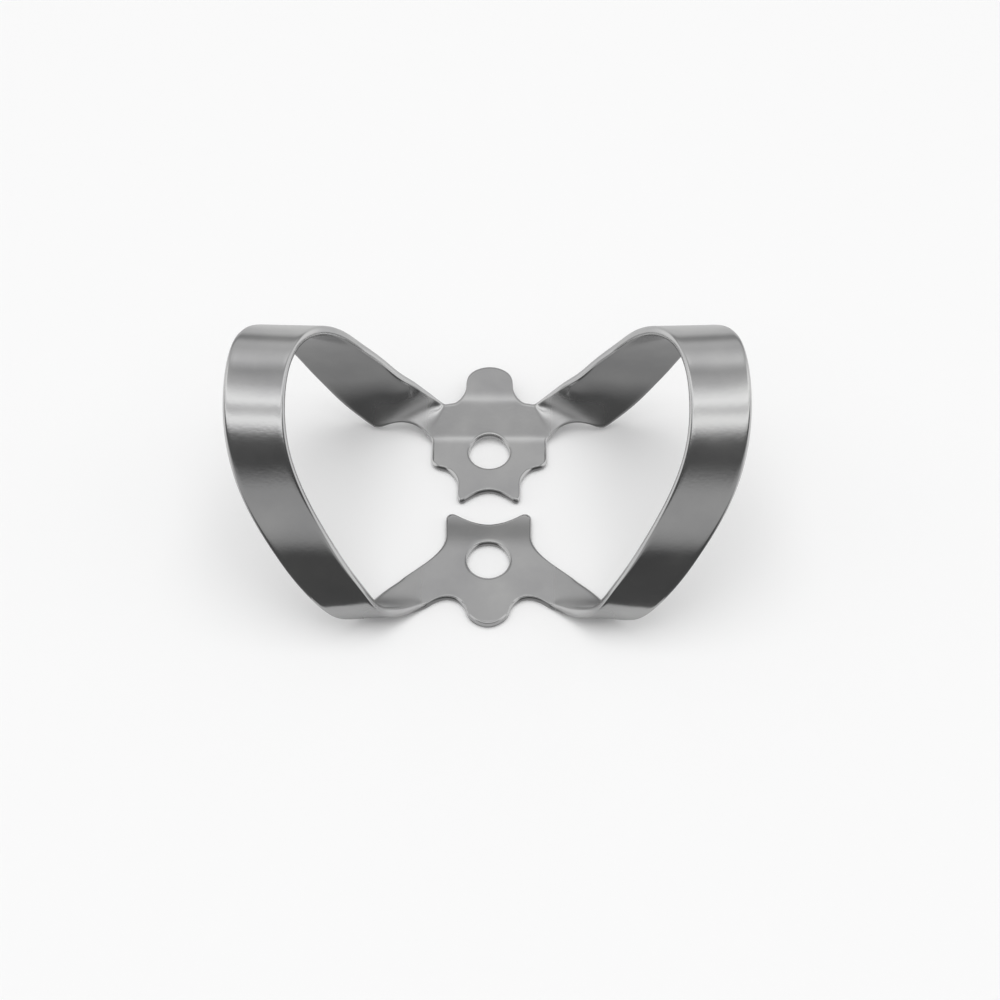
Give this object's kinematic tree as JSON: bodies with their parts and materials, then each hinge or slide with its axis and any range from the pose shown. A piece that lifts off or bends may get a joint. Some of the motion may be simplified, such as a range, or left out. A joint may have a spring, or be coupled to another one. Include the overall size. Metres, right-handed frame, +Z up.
{
  "type": "rubber dam clamp",
  "caption": "One-piece spring steel dental clamp: flat jaws with forceps holes, notched prongs and rounded tabs, joined by arched strip bows.",
  "frame": {"origin": "middle of the foot of the clamp's box, on the surface that the jaws lie on", "axes": "+X across both bows, +Y from the front jaw to the rear jaw with the raised tab, +Z up from the jaws to the crowns of the bows"},
  "size_m": [0.0294, 0.0196, 0.0151],
  "materials": {
    "steel": "satin, tumbled edges"
  },
  "bodies": {
    "root": {"clamp": "steel"}
  },
  "joints": []
}
